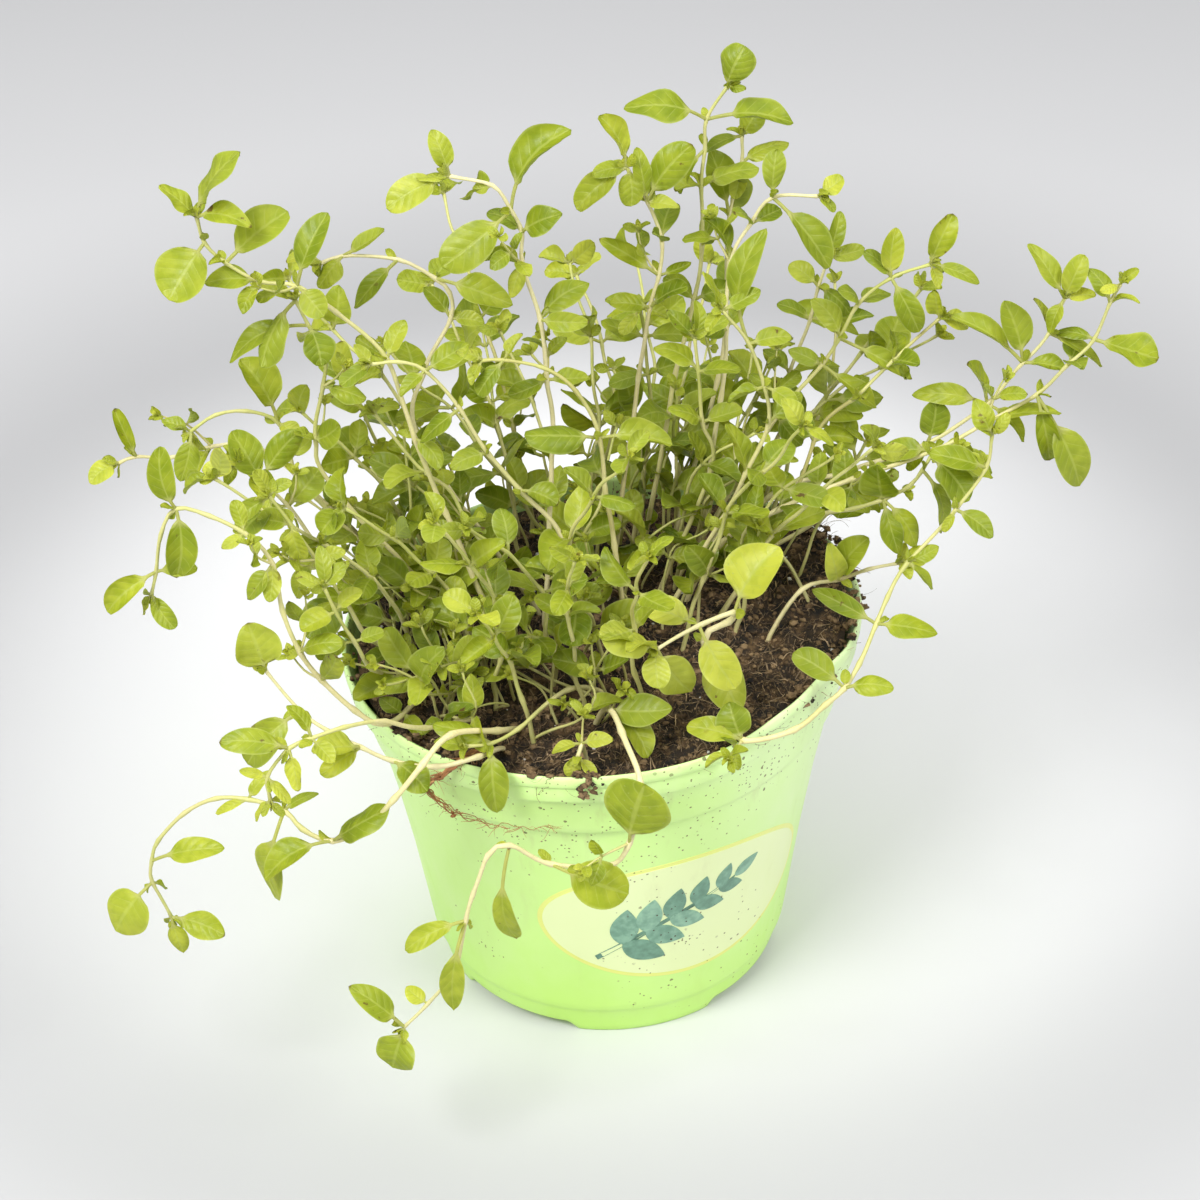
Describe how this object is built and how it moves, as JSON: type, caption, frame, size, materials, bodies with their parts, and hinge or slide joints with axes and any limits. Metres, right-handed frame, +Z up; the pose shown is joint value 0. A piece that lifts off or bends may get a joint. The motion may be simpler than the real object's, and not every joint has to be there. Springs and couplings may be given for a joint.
{
  "type": "potted herb",
  "caption": "Bushy marjoram with arching leafy sprigs, growing in peat in a round tapered plastic pot with a banded rim and arched foot.",
  "frame": {"origin": "middle of the flat pad under the pot, on the surface the pot stands on", "axes": "+Z up; -Y is the front, the side the label faces; +X is the right as seen from the front"},
  "size_m": [0.2549, 0.1903, 0.2374],
  "materials": {
    "green_plastic": "thin satin light-green plastic, dusty and paler at the rim, flecked with soil",
    "peat": "dark brown fibrous peat, damp and crumbly",
    "dry_root": "dry brown fibrous root",
    "leaf_green": "soft matt leaf, fine veins, yellower when young; pale green stems"
  },
  "bodies": {
    "root": {"loose_root": "dry_root", "pot": "green_plastic", "soil": "peat", "sprig_back_cluster": "leaf_green", "sprig_back_right_bow": "leaf_green", "sprig_back_tall": "leaf_green", "sprig_back_tall_twin": "leaf_green", "sprig_centre_tuft": "leaf_green", "sprig_far_left": "leaf_green", "sprig_far_right": "leaf_green", "sprig_front_hang": "leaf_green", "sprig_front_left_cross": "leaf_green", "sprig_front_right": "leaf_green", "sprig_front_sprout": "leaf_green", "sprig_high_bow": "leaf_green", "sprig_inner_01": "leaf_green", "sprig_inner_02": "leaf_green", "sprig_inner_03": "leaf_green", "sprig_inner_04": "leaf_green", "sprig_inner_05": "leaf_green", "sprig_inner_06": "leaf_green", "sprig_inner_07": "leaf_green", "sprig_inner_08": "leaf_green", "sprig_inner_09": "leaf_green", "sprig_inner_10": "leaf_green", "sprig_inner_11": "leaf_green", "sprig_inner_12": "leaf_green", "sprig_inner_13": "leaf_green", "sprig_inner_14": "leaf_green", "sprig_inner_15": "leaf_green", "sprig_inner_16": "leaf_green", "sprig_inner_17": "leaf_green", "sprig_inner_18": "leaf_green", "sprig_inner_19": "leaf_green", "sprig_inner_20": "leaf_green", "sprig_inner_21": "leaf_green", "sprig_inner_22": "leaf_green", "sprig_left_fall": "leaf_green", "sprig_left_long_bow": "leaf_green", "sprig_left_low_drop": "leaf_green", "sprig_left_mid_bow": "leaf_green", "sprig_left_rim_fill": "leaf_green", "sprig_left_rim_rise": "leaf_green", "sprig_left_second_bow": "leaf_green", "sprig_left_third": "leaf_green", "sprig_left_up_fill": "leaf_green", "sprig_left_wing": "leaf_green", "sprig_mid_bow": "leaf_green", "sprig_mid_left_bow": "leaf_green", "sprig_mid_right": "leaf_green", "sprig_right_branch": "leaf_green", "sprig_right_cluster": "leaf_green", "sprig_right_hook": "leaf_green", "sprig_right_rise": "leaf_green", "sprig_right_twig": "leaf_green", "sprig_rim_low": "leaf_green", "sprig_rim_right_bow": "leaf_green", "sprig_top_fill": "leaf_green", "sprig_trail_left": "leaf_green", "sprig_upper_right": "leaf_green"}
  },
  "joints": []
}
